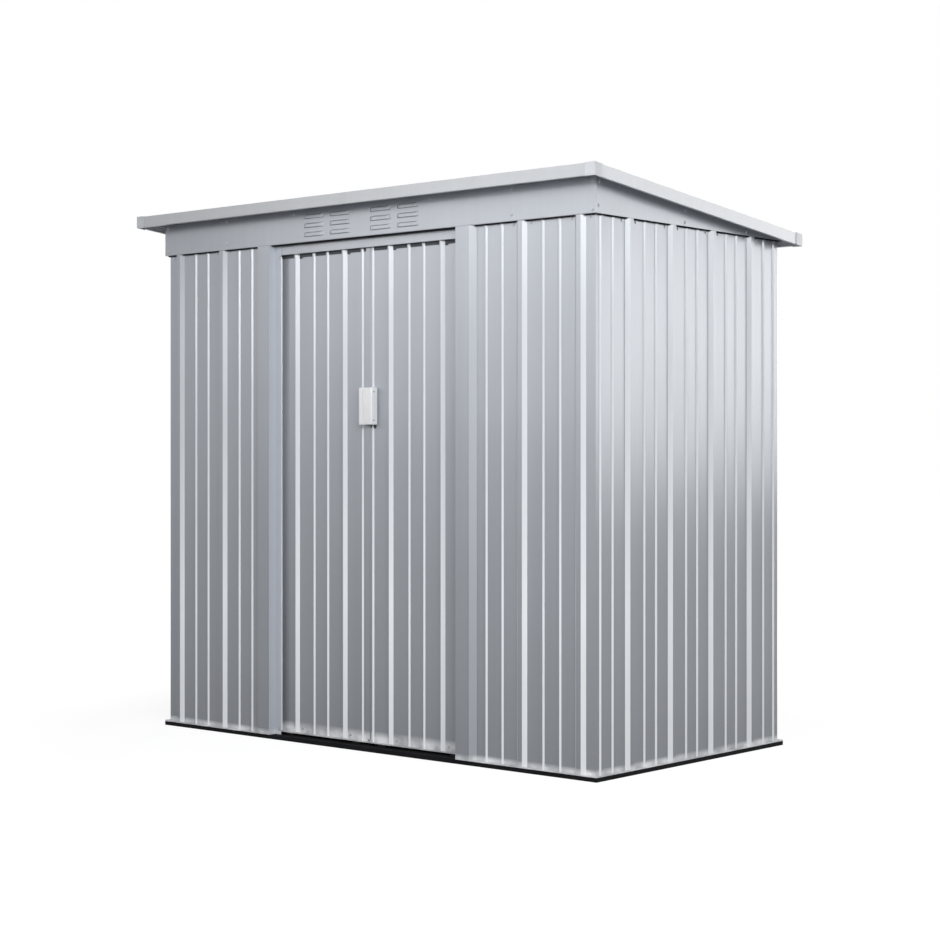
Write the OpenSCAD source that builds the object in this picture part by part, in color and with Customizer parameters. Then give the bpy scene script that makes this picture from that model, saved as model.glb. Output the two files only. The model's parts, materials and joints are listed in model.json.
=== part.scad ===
// Pent-roof metal storage shed with a pair of sliding doors, in millimetres.
// X runs along the front, -Y faces the front and Z is up.
// The origin is on the ground at the centre of the walls.

/* [Walls] */
// Width over the flats of the two side walls
wall_w = 1984; // [1700:1:2600]
// Depth over the flats of the front and back walls
wall_d = 1033; // [800:1:1400]
// Height of the top of the front and side walls above the ground
wall_top = 1742; // [1350:1:2200]
// Thickness of every ribbed sheet and panel
sheet_t = 1; // [0.8:0.1:1.5]

/* [Ribs] */
// Distance between wide ribs on the front, back, doors and roof
front_pitch = 234; // [200:1:290]
// Distance between wide ribs on the side walls
side_pitch = 230; // [200:1:290]
// Distance from a wide rib to the narrow rib on either side
narrow_step = 83.5; // [66:0.5:95]
// Width of a wide rib where it leaves the flat
wide_foot = 42; // [34:1:52]
// Width of the flat top of a wide rib
wide_crown = 18; // [12:1:22]
// Height of a wide rib on the walls
wide_h = 12; // [8:1:16]
// Width of a narrow rib where it leaves the flat
narrow_foot = 15; // [12:1:18]
// Width of the flat top of a narrow rib
narrow_crown = 6; // [4:1:8]
// Height of a narrow rib
narrow_h = 5; // [3:0.5:6]

/* [Base frame] */
// Height of the black base channels
base_h = 14; // [10:1:30]
// Distance that the base stands out beyond the bottom rails
base_margin = 0.4; // [0:0.1:20]
// Wall thickness of the base channels
base_t = 2; // [1.5:0.1:3]
// Width of the base channels that is left clear inside the bottom rails
base_strip = 24; // [20:1:60]
// Distance of each anchor hole from the middle of the front
anchor_x = 900; // [300:1:930]
// Diameter of the anchor holes
anchor_d = 10; // [6:0.5:14]

/* [Frame rails] */
// Thickness of the frame rails and posts
rail_t = 1.2; // [1:0.1:2]
// Height of the turned-up lip round the bottom rails
lip_h = 4.7; // [3:0.1:7]
// Height of the upright leg of the bottom and top rails
rail_leg = 30; // [20:1:50]
// Width of each leg of the corner posts
post_leg = 30; // [25:1:45]

/* [Doorway] */
// Clear width between the two door frame strips
opening_w = 820; // [640:1:1000]
// Width of the strip beside the opening on each door post
strip_w = 28; // [20:1:40]
// Width of the raised face of each door post
post_face_w = 58; // [40:1:75]
// Run of the slanted flank of each door post
post_flank = 15; // [10:1:20]
// Distance that the door posts stand out from the flat of the wall
post_proud = 22; // [16:1:30]
// Depth of the door frame strips behind the flat of the wall
reveal = 10.3; // [8:0.1:16]
// Height of the header above the opening
header_h = 34; // [28:1:60]

/* [Doors] */
// Width of a wide rib on the doors where it leaves the flat
door_rib_foot = 26; // [22:1:34]
// Width of the flat top of a wide rib on the doors
door_rib_crown = 6; // [4:1:12]
// Height of a wide rib on the doors
door_rib_h = 12; // [6:1:14]
// Distance from the middle of the doorway to the first wide rib of the right door
door_rib_right = 101.5; // [97:0.5:110]
// Distance from the middle of the doorway to the first wide rib of the left door
door_rib_left = 114.5; // [101:0.5:125]
// Depth of the rails on the back of the doors
door_rail_d = 10; // [8:1:16]
// Height of the rails on the back of the doors
door_rail_h = 30; // [20:1:50]
// Height of the lower edge of the doors above the ground
door_bottom = 25; // [24.5:0.5:45]
// Height of the lip along the foot of the doors
door_lip_h = 4.5; // [2:0.5:8]
// Distance that the doors reach up behind the header
door_tuck = 8.5; // [6:0.5:12]
// Distance that each door reaches behind the door post
door_lap = 35; // [20:1:60]
// Running clearance in front of and above the doors
run_gap = 5.5; // [5:0.1:9]
// Clearance between the backs of the doors and the track
back_gap = 7; // [5:0.1:10]
// Gap between the flat edges of the two doors
meet_gap = 5; // [5:0.1:8]
// Width of the edge strip of the left door that covers the gap
cover_w = 18; // [14:1:20]

/* [Handles] */
// Height of the middle of the handles above the ground
handle_z = 1168; // [800:1:1300]
// Height of the handles
handle_h = 126; // [90:1:160]
// Distance that the handles stand out from the flat of the doors
handle_d = 34; // [26:1:42]
// Width of the half on the left door
handle_left_w = 17; // [12:1:22]
// Width of the half on the right door
handle_right_w = 45; // [36:1:60]
// Wall thickness of the handles
handle_t = 3; // [2:0.5:4]

/* [Vents and gables] */
// Clearance between the wall ribs and the panels above the walls
panel_gap = 0.6; // [0.3:0.1:5]
// Width of the flange under the panels above the walls
panel_flange = 40; // [30:1:55]
// Length of one louvre
louvre_w = 96; // [70:1:110]
// Height of one louvre
louvre_h = 17; // [12:1:22]
// Distance that a louvre hood stands out
louvre_out = 4.5; // [3:0.5:5]
// Distance between louvre columns
louvre_pitch = 125.5; // [115:0.5:150]
// Extra distance between the two middle louvre columns
louvre_mid = 65.5; // [0:0.5:100]
// Height of the lowest louvre row above the walls
louvre_row = 25; // [18:1:30]
// Distance between the louvre rows
louvre_rise = 31; // [25:1:33]

/* [Roof] */
// Height of the front edge of the roof above the top of the walls
roof_rise = 143; // [135:1:200]
// Fall of the roof from its front edge to its back edge
roof_fall = 121; // [80:1:123]
// Overhang of the roof beyond the flats of the side walls
over_side = 73; // [50:1:120]
// Overhang of the roof beyond the flat of the front wall
over_front = 100; // [60:1:160]
// Overhang of the roof beyond the flat of the back wall
over_back = 45; // [35:1:100]
// Height of the roof trim
trim_h = 38.7; // [32:0.1:60]
// Depth of the underside of the roof sheets below the top of the trim
sheet_drop = 20; // [18:0.5:24]
// Length of each leg of the plastic corner caps
cap_leg = 38; // [34:1:60]
// Thickness of the plastic corner caps
cap_t = 1.7; // [1:0.1:3]

/* [Hidden] */

// Gap left between pieces that bear on each other without lying flush
seat = 0.3;
// Extra length that carries a cut clear of the face it opens
cut = 1;

silver = "#b9bcc2";
black = "#1d1e21";
plastic_white = "#e2e3e6";
plastic_grey = "#9da0a6";
nylon = "#2a2b2e";

// Flat planes of the walls
side_x = wall_w / 2;
front_y = -wall_d / 2;
back_y = wall_d / 2;
floor_z = base_h + rail_t;

// The lip runs just outside the crowns of the wall ribs
lip_gap = 0.7;
lip_out = wide_h + lip_gap + rail_t;
base_out = lip_out + base_margin;
panel_out = wide_h + panel_gap + sheet_t;
post_x = side_x - sheet_t - post_leg;
flange_w = post_leg - 2;

// Door frame and track, front to back
strip_y = front_y + reveal;
track_y = strip_y + rail_t + seat;
door_crown_y = track_y + rail_t + run_gap;
door_y = door_crown_y + door_rib_h;
door_back_y = door_y + sheet_t + door_rail_d;
track_back_y = door_back_y + back_gap;
rail_in_y = track_back_y + rail_t;
header_z = wall_top - header_h;
door_top = header_z + door_tuck;
door_x0 = meet_gap / 2;
door_x1 = opening_w / 2 + door_lap;
post_in_x = opening_w / 2 + strip_w;
post_out_x = post_in_x + post_face_w;
post_foot_x = post_out_x + post_flank;
wall_in_x = post_out_x + 4;

// The doors ride on a ledge in the track and are guided by a rib under them
ledge_z = door_top + run_gap;
ledge_y = track_back_y - 12;
guide_y = (door_y + door_back_y) / 2;
guide_top = door_bottom - run_gap;
glide_w = 36;
glide_inset = 40;

// The door sheets stand in a bottom rail whose lip runs just in front of their ribs
door_foot = door_bottom + rail_t + seat;
door_lip_y = door_crown_y - seat - rail_t;

// The edge strip of the left door steps forward and runs across the gap
cover_y = door_y - run_gap - sheet_t + 0.5;
cover_step_x = door_x0 + 4 + sheet_t;
cover_x1 = cover_w - cover_step_x;

// The roof falls from the front trim to the back trim in a straight line
trim_out_x = side_x + over_side;
roof_front_y = front_y - over_front;
roof_back_y = back_y + over_back;
slope = roof_fall / (roof_back_y - roof_front_y);
tilt = atan(slope);
cap_over = 1.5;
trim_x = trim_out_x - cap_t - seat;
trim_front_y = roof_front_y + cap_t + seat;
trim_back_y = roof_back_y - cap_t - seat;
trim_top_flange = 18;
trim_shelf = min(30, over_back - cap_t - 2 * seat - wide_h);
trim_low_flange = 10;
sheet_end_gap = 3;
roof_joint = 1.5 * front_pitch;
panel_x = side_x + panel_out;
panel_y = front_y - panel_out;

// Height of the top of the roof trim at depth y
function trim_z(y) = wall_top + roof_rise - cap_over - slope * (y - roof_front_y);
// Height of the highest point at depth y that clears the underside of the roof sheets
function under_z(y) = trim_z(y) - sheet_drop;

// Rib shapes, each [width at the flat, width of the top, height]
wall_rib = [wide_foot, wide_crown, wide_h];
roof_rib = [wide_foot, wide_crown, wide_h - 2];
door_rib = [door_rib_foot, door_rib_crown, door_rib_h];
narrow_rib = [narrow_foot, narrow_crown, narrow_h];

// Rib layout from low to high: wide ribs at start + k * pitch, each with a narrow rib on either side
function ribs(start, pitch, low, high, wide) = [
    for (k = [floor((low - start) / pitch) - 1 : ceil((high - start) / pitch) + 1])
        for (side = [-1, 0, 1])
            let (centre = start + k * pitch + side * narrow_step)
            let (shape = side == 0 ? wide : narrow_rib)
            let (half = shape[0] / 2 + 3)
            if (centre - half > low && centre + half < high) concat(centre, shape)
];

// Outer line of one rib [centre, width at the flat, width of the top, height], standing out towards -y
function rib_line(rib) = [
    [rib[0] - rib[1] / 2, 0],
    [rib[0] - rib[2] / 2, -rib[3]],
    [rib[0] + rib[2] / 2, -rib[3]],
    [rib[0] + rib[1] / 2, 0]
];

module box(x0, x1, y0, y1, z0, z1) {
    translate([x0, y0, z0]) cube([x1 - x0, y1 - y0, z1 - z0]);
}

module left() {
    mirror([1, 0, 0]) children();
}

module back() {
    mirror([0, 1, 0]) children();
}

// Section of a ribbed sheet from low to high, with its flat face at y = 0
module sheet_section(low, high, rib_list) {
    line = concat([[low, 0]], [for (rib = rib_list) each rib_line(rib)], [[high, 0]]);
    last = len(line) - 1;
    polygon(concat(line, [for (k = [0 : last]) line[last - k] + [0, sheet_t]]));
}

// Upright ribbed wall sheet whose ribs stand out towards -y, with its first wide rib at start
module wall_sheet(low, high, start, pitch, rib_low, z1) {
    translate([0, 0, floor_z])
        linear_extrude(z1 - floor_z)
            sheet_section(low, high, ribs(start, pitch, rib_low, high, wall_rib));
}

// Plate between x0 and x1 that follows the roof, drop below the top of the trim
module sloped_plate(x0, x1, y0, y1, drop, thick) {
    translate([x0, 0, 0])
        rotate([90, 0, 90])
            linear_extrude(x1 - x0)
                polygon([
                    [y0, trim_z(y0) - drop - thick],
                    [y1, trim_z(y1) - drop - thick],
                    [y1, trim_z(y1) - drop],
                    [y0, trim_z(y0) - drop]
                ]);
}

// Base channel along x, with its closed side at y = 0 and its open side at y = width
module base_channel(length, width) {
    difference() {
        box(-length / 2, length / 2, 0, width, 0, base_h);
        box(base_t - length / 2, length / 2 - base_t, base_t, width + cut, base_t, base_h - base_t);
    }
}

module anchor_holes(y) {
    for (x = [-anchor_x, anchor_x])
        translate([x, y, -cut])
            cylinder(h = base_h + 2 * cut, d = anchor_d, $fn = 48);
}

base_front_y = front_y - base_out;
base_in_y = rail_in_y + base_strip;
base_side_w = base_out + sheet_t + post_leg + base_strip - 3;
anchor_y = base_in_y - base_strip / 2;

module base_front_rail() {
    color(black)
        difference() {
            translate([0, base_front_y, 0]) base_channel(wall_w + 2 * base_out, base_in_y - base_front_y);
            anchor_holes(anchor_y);
        }
}

module base_back_rail() {
    back() base_front_rail();
}

module base_right_rail() {
    color(black)
        translate([side_x + base_out, 0, 0])
            rotate(90)
                base_channel(-2 * base_in_y, base_side_w);
}

module base_left_rail() {
    left() base_right_rail();
}

module base_cross_rail() {
    color(black)
        translate([base_side_w / 2, 0, 0])
            rotate(90)
                base_channel(-2 * base_in_y, base_side_w);
}

// Flat plate with the rib that guides the doors and a leg along its back
module guide_rail(x0, x1, rib_x1) {
    box(x0, x1, front_y - lip_out, rail_in_y, base_h, floor_z);
    box(x0, rib_x1, track_back_y, rail_in_y, floor_z, floor_z + rail_leg / 2);
    box(x0, rib_x1, guide_y - rail_t / 2, guide_y + rail_t / 2, floor_z, guide_top);
}

// Black sill across the doorway
module door_sill() {
    color(black) guide_rail(-post_in_x, post_in_x, post_in_x);
}

// Rail under the front wall on each side of the doorway, with a turned-up lip beside the door post
module bottom_rail_front() {
    end = side_x + lip_out;
    lip_y = front_y - lip_out;
    color(silver)
        for (side = [0, 1])
            mirror([side, 0, 0]) {
                guide_rail(post_in_x + seat, end, post_x);
                box(post_foot_x + seat, end, lip_y, lip_y + rail_t, floor_z, base_h + lip_h);
                box(end - rail_t, end, lip_y, rail_in_y, floor_z, base_h + lip_h);
            }
}

module bottom_rail_back() {
    end = side_x + lip_out;
    y1 = back_y + lip_out;
    y0 = back_y - sheet_t - post_leg - 5;
    color(silver) {
        difference() {
            box(-end, end, y0, y1, base_h, base_h + lip_h);
            box(rail_t - end, end - rail_t, y0 - cut, y1 - rail_t, floor_z, base_h + lip_h + cut);
        }
        box(-post_x, post_x, back_y - sheet_t - rail_t, back_y - sheet_t, floor_z, floor_z + rail_leg);
    }
}

module bottom_rail_right() {
    y0 = rail_in_y;
    y1 = back_y - sheet_t - post_leg - 5;
    color(silver) {
        box(side_x - sheet_t - flange_w, side_x + lip_out, y0, y1, base_h, floor_z);
        box(side_x + lip_out - rail_t, side_x + lip_out, y0, y1, floor_z, base_h + lip_h);
        box(side_x - sheet_t - rail_t, side_x - sheet_t, y0, y1, floor_z, floor_z + rail_leg);
    }
}

module bottom_rail_left() {
    left() bottom_rail_right();
}

// Angle inside the front right corner
module corner_post(top) {
    x1 = side_x - sheet_t;
    y0 = front_y + sheet_t;
    color(silver) {
        box(post_x, x1, y0, y0 + rail_t, floor_z, top);
        box(x1 - rail_t, x1, y0, y0 + post_leg, floor_z, top);
    }
}

module corner_post_front_right() {
    corner_post(wall_top);
}

module corner_post_front_left() {
    left() corner_post(wall_top);
}

module corner_post_back_right() {
    back() corner_post(wall_top);
}

module corner_post_back_left() {
    left() back() corner_post(wall_top);
}

// The wide rib nearest to the door would lie under the door post
module wall_front_right() {
    color(silver)
        translate([0, front_y, 0])
            wall_sheet(wall_in_x, side_x, side_x - 58, front_pitch, wall_in_x + 20, wall_top);
}

module wall_front_left() {
    left() wall_front_right();
}

module wall_right() {
    half = wall_d / 2 - sheet_t;
    color(silver)
        translate([side_x, 0, 0])
            rotate(90)
                wall_sheet(-half, half, side_pitch / 2, side_pitch, -half, wall_top);
}

module wall_left() {
    left() wall_right();
}

module wall_back() {
    top = under_z(back_y + wide_h);
    color(silver)
        translate([0, back_y, 0])
            rotate(180)
                wall_sheet(-side_x, side_x, front_pitch / 2, front_pitch, -side_x, top);
}

// Header and door track in one: the ledge at the back carries the door glides
module top_rail_front() {
    end = side_x - sheet_t - rail_t;
    color(silver) {
        box(-end, end, track_y, track_y + rail_t, header_z, wall_top);
        box(-end, end, track_y, rail_in_y, wall_top - rail_t, wall_top);
        box(-end, end, track_back_y, rail_in_y, ledge_z, wall_top);
        box(-end, end, ledge_y, track_back_y, ledge_z, ledge_z + rail_t);
    }
}

module top_rail_back() {
    y1 = back_y - sheet_t;
    color(silver) {
        sloped_plate(-post_x, post_x, y1 - rail_t, y1, sheet_drop, rail_leg);
        sloped_plate(-post_x, post_x, y1 - flange_w, y1, sheet_drop, rail_t);
    }
}

module top_rail_right() {
    y0 = rail_in_y;
    y1 = back_y - sheet_t - post_leg;
    x1 = side_x - sheet_t;
    color(silver) {
        box(x1 - rail_t, x1, y0, y1, wall_top - rail_leg, wall_top);
        box(x1 - flange_w, x1, y0, y1, wall_top - rail_t, wall_top);
    }
}

module top_rail_left() {
    left() top_rail_right();
}

// Folded post: strip beside the opening, reveal, raised face and slanted flank down to the wall
module door_post_right() {
    face_y = front_y - post_proud;
    run = post_flank / post_proud;
    flank_t = rail_t * sqrt(1 + run * run);
    strip_x = opening_w / 2;
    color(silver)
        translate([0, 0, floor_z + seat])
            linear_extrude(wall_top - floor_z - 2 * seat)
                polygon([
                    [strip_x, strip_y],
                    [post_in_x, strip_y],
                    [post_in_x, face_y],
                    [post_out_x, face_y],
                    [post_foot_x, front_y],
                    [post_foot_x - flank_t, front_y],
                    [post_out_x + rail_t * run - flank_t, face_y + rail_t],
                    [post_in_x + rail_t, face_y + rail_t],
                    [post_in_x + rail_t, strip_y + rail_t],
                    [strip_x, strip_y + rail_t]
                ]);
}

module door_post_left() {
    left() door_post_right();
}

// Pressed hood of one louvre, open along its lower edge
module louvre_hood() {
    half = louvre_h / 2;
    rotate([90, 0, 90])
        translate([0, 0, -louvre_w / 2]) {
            linear_extrude(louvre_w)
                polygon([[0, half], [-louvre_out, -half], [sheet_t - louvre_out, -half], [0, half - 4]]);
            for (z = [0, louvre_w - sheet_t])
                translate([0, 0, z])
                    linear_extrude(sheet_t)
                        polygon([[0, half], [-louvre_out, -half], [0, -half]]);
        }
}

module vent_panel() {
    rows = [for (k = [0 : 2]) louvre_row + k * louvre_rise];
    columns = [for (side = [-1, 1]) for (k = [0, 1]) side * (louvre_mid / 2 + louvre_pitch * (k + 0.5))];
    top = under_z(panel_y + sheet_t);
    color(silver) {
        difference() {
            box(-panel_x, panel_x, panel_y, panel_y + sheet_t, wall_top, top);
            for (x = columns, z = rows)
                translate([x, panel_y + sheet_t / 2, wall_top + z - 2])
                    cube([louvre_w - 2 * sheet_t, 2 * sheet_t, louvre_h - 4], center = true);
        }
        for (x = columns, z = rows)
            translate([x, panel_y, wall_top + z]) louvre_hood();
        box(sheet_t - panel_x, panel_x - sheet_t, panel_y, panel_y + panel_flange, wall_top, wall_top + sheet_t);
    }
}

module gable_right() {
    y0 = panel_y + sheet_t;
    y1 = min(back_y + panel_out, trim_back_y - trim_shelf - seat);
    color(silver) {
        translate([panel_x - sheet_t, 0, 0])
            rotate([90, 0, 90])
                linear_extrude(sheet_t)
                    polygon([[y0, wall_top], [y1, wall_top], [y1, under_z(y1)], [y0, under_z(y0)]]);
        box(
            panel_x - panel_flange, panel_x, panel_y + panel_flange, back_y - sheet_t - seat,
            wall_top, wall_top + sheet_t
        );
    }
}

module gable_left() {
    left() gable_right();
}

// Inverted channel under the middle of the roof, from gable to gable
module roof_beam() {
    end = panel_x - sheet_t;
    half = 20;
    leg = 25;
    color(silver) {
        sloped_plate(-end, end, -half, half, sheet_drop, rail_t);
        for (y = [-half, half - rail_t])
            sloped_plate(-end, end, y, y + rail_t, sheet_drop, leg);
    }
}

// Ribbed roof sheet from low to high, with its ribs running down the slope
module roof_sheet(low, high) {
    y0 = trim_front_y + rail_t + sheet_end_gap;
    y1 = trim_back_y - rail_t - sheet_end_gap;
    pan = sheet_t;
    color(silver)
        translate([0, y0, trim_z(y0) - sheet_drop + seat])
            rotate([-tilt, 0, 0])
                rotate([-90, 0, 0])
                    linear_extrude((y1 - y0) / cos(tilt))
                        translate([0, -pan])
                            sheet_section(low, high, ribs(0, front_pitch, low, high, roof_rib));
}

roof_edge = trim_x - rail_t - sheet_end_gap;

module roof_sheet_centre() {
    roof_sheet(seat / 2 - roof_joint, roof_joint - seat / 2);
}

module roof_sheet_right() {
    roof_sheet(roof_joint + seat / 2, roof_edge);
}

module roof_sheet_left() {
    roof_sheet(-roof_edge, -roof_joint - seat / 2);
}

// Trim along the front: web, top flange, shelf under the sheets and lower flange
module roof_trim_front() {
    y0 = trim_front_y;
    color(silver) {
        sloped_plate(-trim_x, trim_x, y0, y0 + rail_t, 0, trim_h);
        sloped_plate(-trim_x, trim_x, y0, y0 + trim_top_flange, 0, rail_t);
        sloped_plate(-trim_x, trim_x, y0, y0 + trim_shelf, sheet_drop, rail_t);
        sloped_plate(-trim_x, trim_x, y0, y0 + trim_low_flange, trim_h - rail_t, rail_t);
    }
}

module roof_trim_back() {
    y1 = trim_back_y;
    color(silver) {
        sloped_plate(-trim_x, trim_x, y1 - rail_t, y1, 0, trim_h);
        sloped_plate(-trim_x, trim_x, y1 - trim_top_flange, y1, 0, rail_t);
        sloped_plate(-trim_x, trim_x, y1 - trim_shelf, y1, sheet_drop, rail_t);
        sloped_plate(-trim_x, trim_x, y1 - trim_low_flange, y1, trim_h - rail_t, rail_t);
    }
}

module roof_trim_right() {
    y0 = trim_front_y + trim_shelf;
    y1 = trim_back_y - trim_shelf;
    color(silver) {
        sloped_plate(trim_x - rail_t, trim_x, y0, y1, 0, trim_h);
        sloped_plate(trim_x - trim_top_flange, trim_x, y0, y1, 0, rail_t);
        sloped_plate(trim_x - trim_shelf, trim_x, y0, y1, sheet_drop, rail_t);
        sloped_plate(trim_x - trim_low_flange, trim_x, y0, y1, trim_h - rail_t, rail_t);
    }
}

module roof_trim_left() {
    left() roof_trim_right();
}

// Plastic cap round one corner of the roof: x side and y side face out
module corner_cap(y_out, y_in) {
    tall = trim_h + 2 * cap_over;
    x0 = trim_out_x - cap_leg;
    wall_y = y_out < y_in ? [y_out, y_out + cap_t] : [y_out - cap_t, y_out];
    sloped_plate(trim_out_x - cap_t, trim_out_x, min(y_out, y_in), max(y_out, y_in), -cap_over, tall);
    sloped_plate(x0, trim_out_x, wall_y[0], wall_y[1], -cap_over, tall);
    sloped_plate(x0, trim_out_x, min(y_out, y_in), max(y_out, y_in), -cap_over, cap_over - seat);
}

module roof_corner_caps() {
    color(plastic_grey)
        for (side = [0, 1])
            mirror([side, 0, 0]) {
                corner_cap(roof_front_y, roof_front_y + cap_leg);
                corner_cap(roof_back_y, roof_back_y - cap_leg);
            }
}

// Ribbed door sheet to the right of the middle, with its outer edge folded back
module door_sheet(rib_x) {
    fold = 8;
    translate([0, door_y, door_foot])
        linear_extrude(door_top - door_foot) {
            sheet_section(door_x0, door_x1, ribs(rib_x, front_pitch, door_x0, door_x1, door_rib));
            translate([door_x1 - sheet_t, 0]) square([sheet_t, fold]);
        }
}

module door_right_panel() {
    color(silver) door_sheet(door_rib_right);
}

// The edge of the left door steps forward over the gap between the doors, clear of the foot of the right door
module door_left_panel() {
    z0 = door_bottom + door_lip_h + run_gap;
    color(silver) {
        left() door_sheet(door_rib_left);
        box(-cover_step_x, sheet_t - cover_step_x, cover_y, door_y + sheet_t, z0, door_top);
        box(-cover_step_x, cover_x1, cover_y, cover_y + sheet_t, z0, door_top);
    }
}

// Channel on the back of a door, open to the back
module door_rail(z0) {
    x0 = door_x0 + sheet_t;
    x1 = door_x1 - sheet_t;
    y0 = door_y + sheet_t;
    difference() {
        box(x0, x1, y0, door_back_y, z0, z0 + door_rail_h);
        box(x0 - cut, x1 + cut, y0 + rail_t, door_back_y + cut, z0 + rail_t, z0 + door_rail_h - rail_t);
    }
}

// Top rail, bottom rail and the foot strip that the sheet stands on, with a lip in front of its ribs
module door_right_rails() {
    color(silver) {
        door_rail(door_top - door_rail_h);
        door_rail(door_bottom);
        box(door_x0, door_x1, door_lip_y, door_y + sheet_t - seat, door_bottom, door_bottom + rail_t);
        box(door_x0, door_x1, door_lip_y, door_lip_y + rail_t, door_bottom, door_bottom + door_lip_h);
    }
}

module door_left_rails() {
    left() door_right_rails();
}

// Two hooks that ride on the ledge of the track, and two guides that straddle the rib below
module door_right_glides() {
    hook_y0 = door_y + sheet_t;
    hook_z = ledge_z + rail_t + seat;
    slot = rail_t + 2 * 0.5;
    color(nylon)
        for (x = [door_x0 + glide_inset, door_x1 - glide_inset - glide_w]) {
            box(x, x + glide_w, hook_y0, ledge_y - 1.5, door_top, hook_z + 7);
            box(x, x + glide_w, hook_y0, track_back_y - 3, hook_z, hook_z + 7);
            difference() {
                box(x, x + glide_w, guide_y - 5.2, guide_y + 5.2, floor_z + 1.3, door_bottom);
                box(x - cut, x + glide_w + cut, guide_y - slot / 2, guide_y + slot / 2, 0, guide_top + 0.6);
            }
        }
}

module door_left_glides() {
    left() door_right_glides();
}

handle_y = door_y - handle_d;
handle_gap = 0.75;

// Handle half that is hollow and open at its lower end, with its outer front edge rounded
module handle_half(x1, y_back) {
    round_r = 6;
    low = handle_z - handle_h / 2;
    difference() {
        translate([0, 0, low])
            linear_extrude(handle_h)
                union() {
                    translate([handle_gap, handle_y]) square([x1 - round_r - handle_gap, y_back - handle_y]);
                    translate([handle_gap, handle_y + round_r]) square([x1 - handle_gap, y_back - handle_y - round_r]);
                    translate([x1 - round_r, handle_y + round_r]) circle(r = round_r, $fn = 48);
                }
        box(
            handle_gap + handle_t, x1 - handle_t, handle_y + handle_t, y_back - handle_t,
            low - cut, low + handle_h - handle_t
        );
    }
}

// The inner edge is cut back so that it clears the cover strip of the left door
module door_right_handle() {
    y_back = door_y - narrow_h - seat;
    color(plastic_white)
        difference() {
            handle_half(handle_right_w, y_back);
            box(0, cover_x1 + 3, cover_y - run_gap, y_back + cut, 0, wall_top);
        }
}

module door_left_handle() {
    color(plastic_white)
        left() handle_half(handle_left_w, cover_y - seat);
}

base_front_rail();
base_back_rail();
base_left_rail();
base_right_rail();
base_cross_rail();
bottom_rail_front();
bottom_rail_back();
bottom_rail_left();
bottom_rail_right();
door_sill();
corner_post_front_left();
corner_post_front_right();
corner_post_back_left();
corner_post_back_right();
wall_front_left();
wall_front_right();
wall_left();
wall_right();
wall_back();
top_rail_front();
top_rail_back();
top_rail_left();
top_rail_right();
door_post_left();
door_post_right();
vent_panel();
gable_left();
gable_right();
roof_beam();
roof_sheet_left();
roof_sheet_centre();
roof_sheet_right();
roof_trim_front();
roof_trim_back();
roof_trim_left();
roof_trim_right();
roof_corner_caps();
door_left_panel();
door_left_rails();
door_left_glides();
door_left_handle();
door_right_panel();
door_right_rails();
door_right_glides();
door_right_handle();
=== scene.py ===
import json
import math

import bmesh
import bpy
from mathutils import Matrix, Vector


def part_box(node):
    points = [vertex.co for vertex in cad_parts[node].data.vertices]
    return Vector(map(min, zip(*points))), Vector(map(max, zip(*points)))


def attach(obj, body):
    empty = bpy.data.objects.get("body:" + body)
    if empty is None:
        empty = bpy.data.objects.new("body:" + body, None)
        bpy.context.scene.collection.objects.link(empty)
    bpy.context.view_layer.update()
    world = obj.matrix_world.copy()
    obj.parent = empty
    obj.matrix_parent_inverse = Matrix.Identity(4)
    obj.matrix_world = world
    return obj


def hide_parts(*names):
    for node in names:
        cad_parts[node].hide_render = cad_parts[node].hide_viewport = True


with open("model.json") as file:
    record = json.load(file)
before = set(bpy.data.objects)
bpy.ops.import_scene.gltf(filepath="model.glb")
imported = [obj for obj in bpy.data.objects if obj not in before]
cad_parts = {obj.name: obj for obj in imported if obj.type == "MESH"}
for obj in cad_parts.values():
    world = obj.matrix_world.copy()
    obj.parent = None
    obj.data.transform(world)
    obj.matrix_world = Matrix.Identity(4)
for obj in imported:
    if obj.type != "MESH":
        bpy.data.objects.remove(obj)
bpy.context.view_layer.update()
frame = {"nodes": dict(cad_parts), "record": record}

NODES = frame["nodes"]
COLORS = {m["slot"]: m["base_color"] for m in frame["record"]["materials"]}
SLOTS = {s["node"]: s["material_slot"] for s in frame["record"]["subparts"]}

# Camera: an eye in front of the right corner, level, aimed along the diagonal
EYE = (4.693, -5.371, 0.995)
HEADING = math.radians(40.94)
LENS = 76.13
SHIFT_Y = -0.0137

# Sheet thickness, rib height, rib places and faces of the CAD part
SHEET = 0.001
RIB = 0.012
PITCH = 0.234
NARROW_STEP = 0.0835
SIDE_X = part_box("wall_right")[0].x + SHEET
FRONT_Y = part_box("wall_front_right")[1].y - SHEET
BACK_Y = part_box("wall_back")[0].y + SHEET
WALL_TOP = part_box("wall_right")[1].z
PANEL_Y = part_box("gable_right")[0].y - SHEET
PANEL_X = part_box("gable_right")[1].x
DOOR_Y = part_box("door_right_panel")[0].y + RIB
DOOR_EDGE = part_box("door_right_panel")[1].x
HEADER_FOOT = 1.7078
FRONT_RIBS = [SIDE_X - 0.058, SIDE_X - 0.058 - PITCH]
SIDE_RIBS = [0.115, 0.345]
RIGHT_DOOR_RIBS = [0.1015, 0.3355]
LEFT_DOOR_RIBS = [-0.1145, -0.3485]
# From the middle of a rib to the screws beside it
SCREW_STEP = 0.036
# Width of the flat strip beside a door post's folded part
POST_STRIP = 0.028


# ---------------------------------------------------------------- materials

def new_material(name):
    mat = bpy.data.materials.new(name)
    mat.use_nodes = True
    tree = mat.node_tree
    tree.nodes.clear()
    out = tree.nodes.new("ShaderNodeOutputMaterial")
    shader = tree.nodes.new("ShaderNodeBsdfPrincipled")
    tree.links.new(shader.outputs["BSDF"], out.inputs["Surface"])
    coords = tree.nodes.new("ShaderNodeTexCoord").outputs["Object"]
    return mat, tree, shader, coords


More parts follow.
